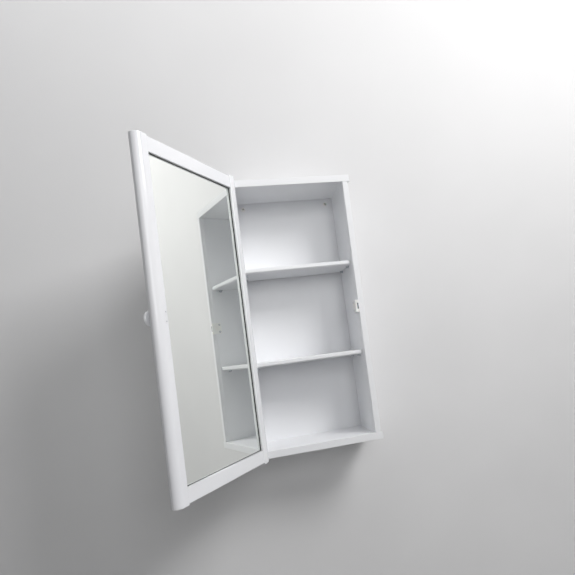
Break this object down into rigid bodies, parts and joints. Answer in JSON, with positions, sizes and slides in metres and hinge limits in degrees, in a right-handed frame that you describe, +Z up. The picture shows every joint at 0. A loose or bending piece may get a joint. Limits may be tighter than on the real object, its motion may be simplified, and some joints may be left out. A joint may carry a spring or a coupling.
{
  "type": "medicine cabinet",
  "caption": "Wall-hung cabinet box with shelves and a pin-hinged framed mirror door, standing open; round-edged stiles, flat rails and a round knob.",
  "frame": {"origin": "on the wall plane, midway between the centres of the two wall fixing holes near the top of the cabinet", "axes": "+X to the right seen from the front, +Y into the wall, +Z up"},
  "size_m": [0.4432, 0.3917, 0.6318],
  "materials": {
    "lacquered_board": "satin white lacquer on fibreboard",
    "lacquered_frame": "semi-gloss white lacquer on wood",
    "raw_wood": "bare planed softwood",
    "white_plastic": "moulded white plastic",
    "plated_steel": "zinc-plated steel",
    "coated_steel": "white powder coat on steel",
    "nylon": "natural nylon",
    "ferrite": "sintered ferrite",
    "mirror_glass": "silvered float glass",
    "black_seal": "extruded black rubber",
    "knob_lacquer": "glossy white"
  },
  "bodies": {
    "cabinet": {"side_left": "lacquered_board", "side_right": "lacquered_board", "top_panel": "lacquered_board", "bottom_panel": "lacquered_board", "back_panel": "lacquered_board", "hanging_rail": "raw_wood", "lower_rail": "raw_wood", "wall_eyelets": "white_plastic", "shelf_upper": "lacquered_board", "shelf_lower": "lacquered_board", "shelf_pins_upper": "plated_steel", "shelf_pins_lower": "plated_steel", "panel_dowels": "raw_wood", "panel_screws": "plated_steel", "screw_plugs": "white_plastic", "back_screws": "plated_steel", "hinge_bracket_upper": "coated_steel", "hinge_bracket_lower": "coated_steel", "hinge_pins": "plated_steel", "hinge_washers": "nylon", "bracket_screws": "plated_steel", "catch_housing": "white_plastic", "catch_magnet": "ferrite", "catch_poles": "plated_steel", "catch_screws": "plated_steel"},
    "door": {"stile_hinge": "lacquered_frame", "stile_free": "lacquered_frame", "rail_top": "lacquered_frame", "rail_bottom": "lacquered_frame", "frame_dowels": "raw_wood", "mirror_inner": "mirror_glass", "mirror_outer": "mirror_glass", "door_core": "raw_wood", "seal_inner": "black_seal", "seal_outer": "black_seal", "hinge_bushes": "nylon", "strike_plate": "coated_steel", "strike_screws": "plated_steel", "knob": "knob_lacquer", "knob_stud": "plated_steel"}
  },
  "joints": [
    {"name": "door_hinge", "type": "hinge", "parent": "cabinet", "child": "door", "pos_m": [-0.1335, -0.155, -0.28], "axis": [0, 0, -1], "range_deg": [-123, 47]}
  ]
}
